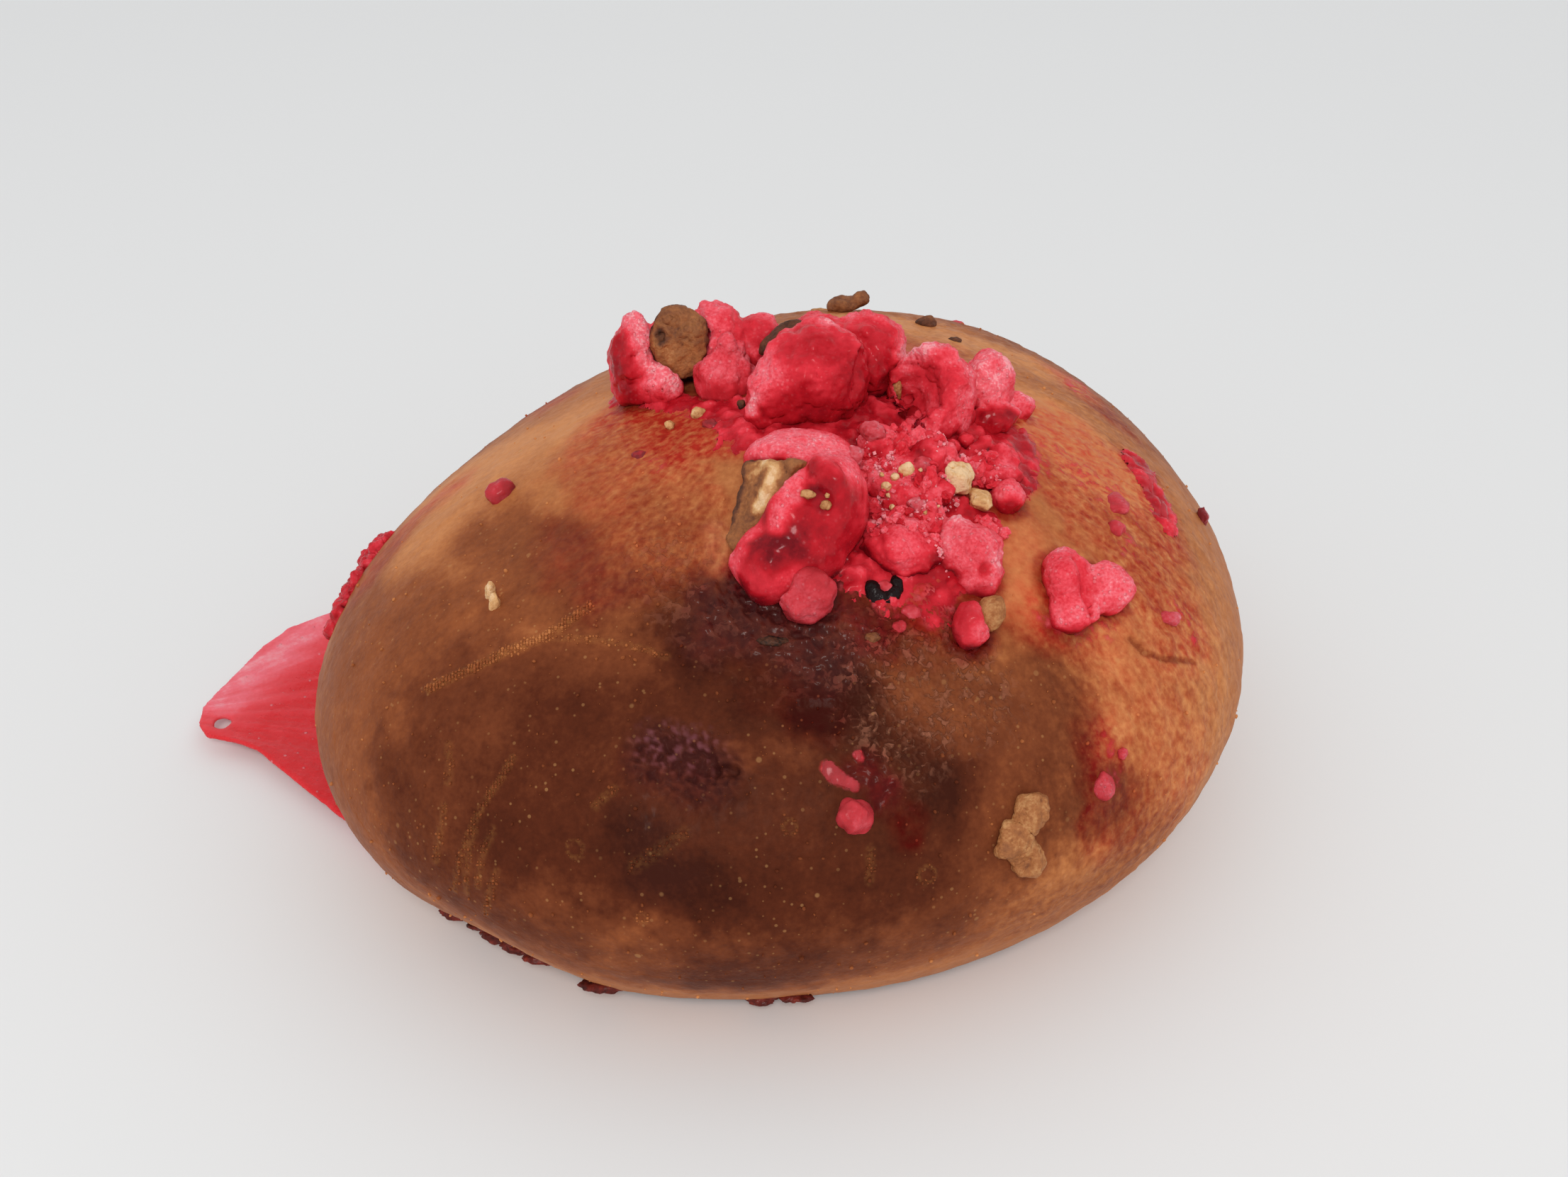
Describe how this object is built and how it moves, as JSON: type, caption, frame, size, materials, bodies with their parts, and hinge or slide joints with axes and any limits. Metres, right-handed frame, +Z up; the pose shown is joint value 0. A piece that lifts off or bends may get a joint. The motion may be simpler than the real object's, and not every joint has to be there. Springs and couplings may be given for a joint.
{
  "type": "praline brioche",
  "caption": "Domed brioche bun with a browned crust, pink sugared almond lumps and crumbled sugar baked onto its top, and a thin plate of melted pink sugar at its foot.",
  "frame": {"origin": "centre of the bun's flat base, on the surface it stands on", "axes": "+Z up through the dome, -Y towards the front where the largest praline sits, +X to the right"},
  "size_m": [0.1333, 0.1185, 0.0625],
  "materials": {
    "crust": "baked crust, satin, tan to dark brown with red sugar stains",
    "sugar": "cooked sugar, frosted pink where broken and glossy red where melted",
    "almond": "roasted almond, dull, tan to brown",
    "sugar_plate": "thin set sugar, glossy, translucent pink red"
  },
  "bodies": {
    "root": {"bun": "crust", "praline_split": "sugar", "praline_wedge": "sugar", "praline_back": "sugar", "praline_shell": "sugar", "praline_far": "sugar", "praline_front": "sugar", "praline_nugget": "sugar", "praline_mid": "sugar", "praline_bead": "sugar", "praline_side": "sugar", "praline_small": "sugar", "praline_crumble": "sugar", "nut_front": "almond", "nut_split": "almond", "nut_skin": "almond", "nut_bead": "almond", "nut_cream": "almond", "nut_chip": "almond", "nut_top": "almond", "nut_side": "almond", "sugar_sheet": "sugar_plate"}
  },
  "joints": []
}
